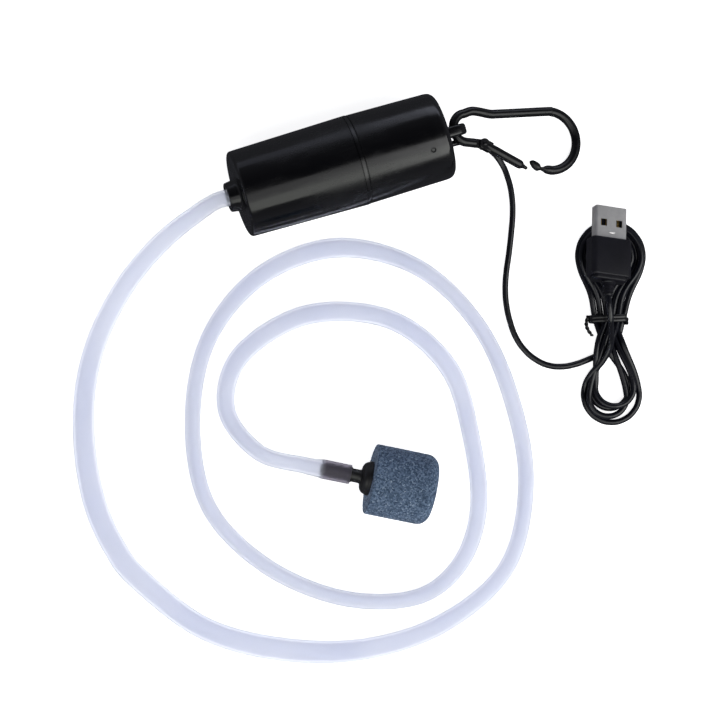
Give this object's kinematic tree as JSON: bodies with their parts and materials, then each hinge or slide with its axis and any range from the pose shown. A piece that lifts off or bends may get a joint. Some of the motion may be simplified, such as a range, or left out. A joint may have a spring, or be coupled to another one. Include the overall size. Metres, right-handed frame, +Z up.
{
  "type": "aquarium air pump",
  "caption": "Pocket air pump in a two-part round case, with a carabiner, a soft air tube that ends in an air stone, and a tied USB lead",
  "frame": {"origin": "On the table, under the middle of the box round the pump and its carabiner", "axes": "+X along the pump from outlet to lug, +Z up from the table, +Y away from the tube's coils"},
  "size_m": [0.2199, 0.1886, 0.0334],
  "materials": {
    "case_plastic": "glossy injection-moulded black plastic",
    "foam": "closed-cell foam wrap",
    "head_plastic": "moulded nylon",
    "valve_rubber": "soft rubber",
    "white_plastic": "moulded acetal",
    "zinc_steel": "zinc-plated steel",
    "bush_bronze": "sintered bronze and leaf metal",
    "ferrite": "bonded ferrite",
    "core_steel": "stamped laminations",
    "copper_wire": "enamelled copper",
    "lead_insulation": "thin insulation",
    "black_wire": "black-coated steel wire",
    "silicone_tube": "milky translucent silicone",
    "nozzle_plastic": "moulded black plastic",
    "sintered_stone": "blue-grey sintered mineral grain",
    "cable_jacket": "thin black PVC jacket",
    "tie_plastic": "plastic-covered wire tie",
    "grip_plastic": "moulded black PVC",
    "plug_steel": "nickel-plated steel",
    "tongue_plastic": "moulded insulator",
    "contact_gold": "gold-flashed contacts"
  },
  "bodies": {
    "root": {"front_shell": "case_plastic", "rear_shell": "case_plastic", "foam_sleeve": "foam", "outlet_cap": "head_plastic", "outlet_valve": "valve_rubber", "valve_plate": "white_plastic", "intake_valves": "valve_rubber", "diaphragm": "valve_rubber", "cup_plate": "white_plastic", "head_base": "head_plastic", "head_screws": "zinc_steel", "motor_can": "zinc_steel", "front_bush": "bush_bronze", "rear_bush": "bush_bronze", "motor_end_cap": "white_plastic", "magnets": "ferrite", "brushes": "bush_bronze", "terminals": "zinc_steel", "lead_wires": "lead_insulation", "cable_knot": "cable_jacket", "air_tube": "silicone_tube", "stone_nozzle": "nozzle_plastic", "air_stone": "sintered_stone", "usb_cable": "cable_jacket", "cable_hank": "cable_jacket", "cable_tie": "tie_plastic", "plug_lead": "cable_jacket", "plug_relief": "grip_plastic", "plug_grip": "grip_plastic", "plug_shell": "plug_steel", "plug_tongue": "tongue_plastic", "plug_contacts": "contact_gold"},
    "rotor": {"crank_pin": "zinc_steel", "eccentric": "white_plastic", "motor_shaft": "zinc_steel", "armature_core": "core_steel", "windings": "copper_wire", "commutator": "copper_wire"},
    "wobbler": {"wobble_plate": "white_plastic"},
    "carabiner": {"carabiner_frame": "black_wire", "gate_rivet": "black_wire"},
    "gate": {"carabiner_gate": "black_wire"}
  },
  "joints": [
    {"name": "rotor_spin", "type": "hinge", "parent": "root", "child": "rotor", "pos_m": [-0.02, 0.00426, 0.0165], "axis": [1, 0, 0], "continuous": true},
    {"name": "wobble_rock", "type": "hinge", "parent": "root", "child": "wobbler", "pos_m": [-0.04384, 0.00426, 0.0165], "axis": [0, 1, 0], "range_deg": [-5, 5], "stiffness_Nm_per_rad": 0.02},
    {"name": "carabiner_swing", "type": "hinge", "parent": "root", "child": "carabiner", "pos_m": [0.01966, 0.00426, 0.0165], "axis": [0, -1, 0], "range_deg": [0, 105]},
    {"name": "gate_hinge", "type": "hinge", "parent": "carabiner", "child": "gate", "pos_m": [0.029, -0.00302, 0.01336], "axis": [0.3183, 0, 0.948], "range_deg": [0, 28], "stiffness_Nm_per_rad": 0.01, "springref_deg": -5.73}
  ]
}
